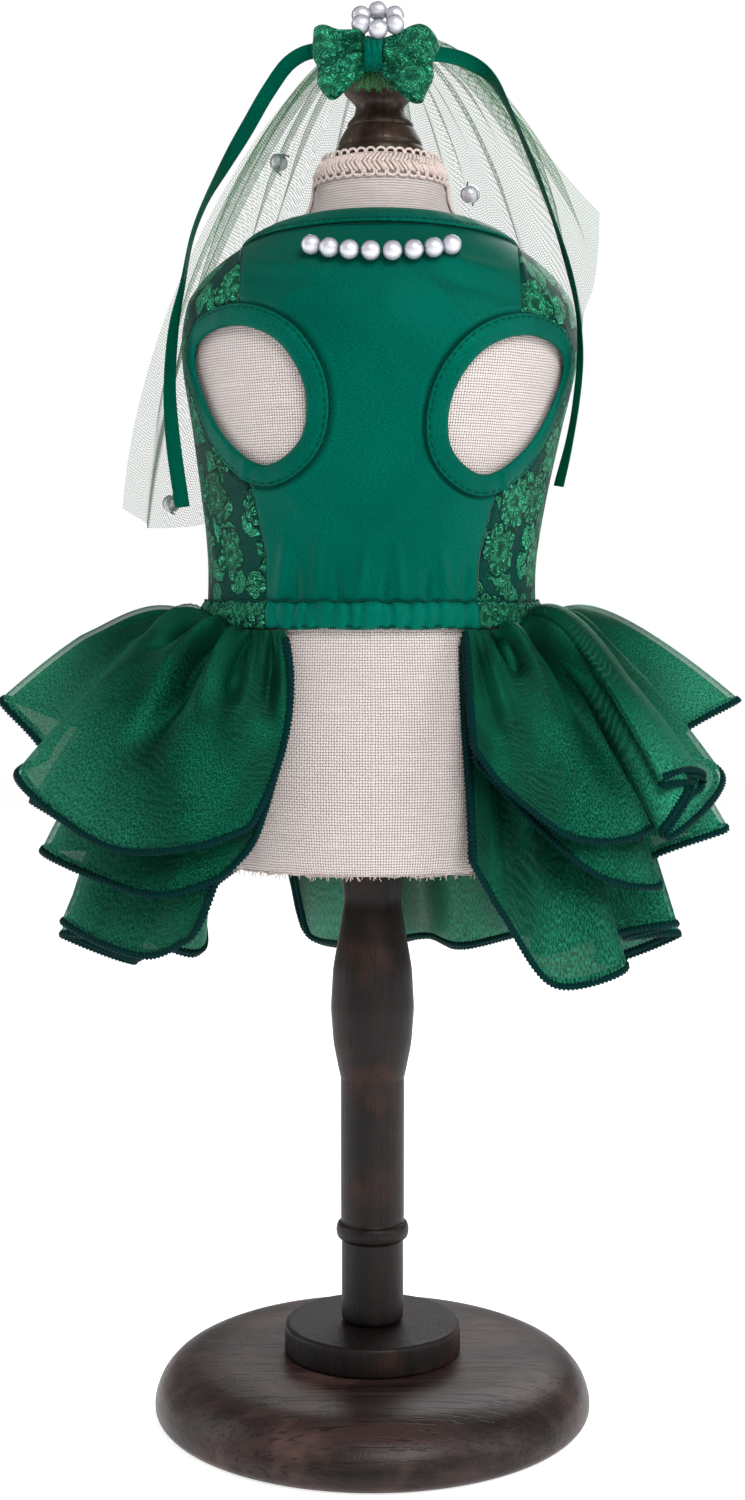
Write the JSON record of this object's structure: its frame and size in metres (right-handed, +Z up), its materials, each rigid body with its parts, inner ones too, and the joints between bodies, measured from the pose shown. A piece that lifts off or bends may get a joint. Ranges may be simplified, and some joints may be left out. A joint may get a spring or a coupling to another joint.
{
  "type": "dog wedding dress with veil on a dress form stand",
  "caption": "Sleeveless dog wedding dress with a tiered organza skirt, shown with its bow veil on a limbless linen dress form with a turned wooden stand.",
  "frame": {"origin": "centre of the stand's underside, on the floor", "axes": "+Z up; -Y faces the front, where the dress shows its belly side; +X is the viewer's right from the front"},
  "size_m": [0.298, 0.2342, 0.5574],
  "materials": {
    "satin": "smooth satin sheen",
    "brocade": "woven floral brocade, raised bright green on dark green",
    "organza": "sheer organza with a satin sheen, overlocked hems",
    "tulle": "fine soft net",
    "pearl": "pearl lustre",
    "linen": "coarse plain weave, matt",
    "braid": "twisted gimp braid, matt",
    "wood": "dark walnut stain, satin lacquer"
  },
  "bodies": {
    "root": {"back_panel": "brocade", "belly_panel": "satin", "bow_knot": "satin", "bow_loop_left": "brocade", "bow_loop_right": "brocade", "bow_pearl_1": "pearl", "bow_pearl_2": "pearl", "bow_pearl_3": "pearl", "bow_pearl_4": "pearl", "bow_pearl_5": "pearl", "bow_pearl_6": "pearl", "form_finial": "wood", "form_neck_braid": "braid", "form_side_braid_left": "braid", "form_side_braid_right": "braid", "form_torso": "linen", "leg_binding_left": "satin", "leg_binding_right": "satin", "neck_binding": "satin", "necklace_pearl_1": "pearl", "necklace_pearl_2": "pearl", "necklace_pearl_3": "pearl", "necklace_pearl_4": "pearl", "necklace_pearl_5": "pearl", "necklace_pearl_6": "pearl", "necklace_pearl_7": "pearl", "necklace_pearl_8": "pearl", "ribbon_left": "satin", "ribbon_right": "satin", "skirt_middle_tier": "organza", "skirt_top_tier": "organza", "skirt_under_tier": "organza", "stand_base": "wood", "stand_boss": "wood", "stand_pole": "wood", "veil_pearl_1": "pearl", "veil_pearl_2": "pearl", "veil_pearl_3": "pearl", "veil_pearl_4": "pearl", "veil_pearl_5": "pearl", "veil_tulle": "tulle", "waist_casing_back": "brocade", "waist_casing_belly": "satin"}
  },
  "joints": []
}
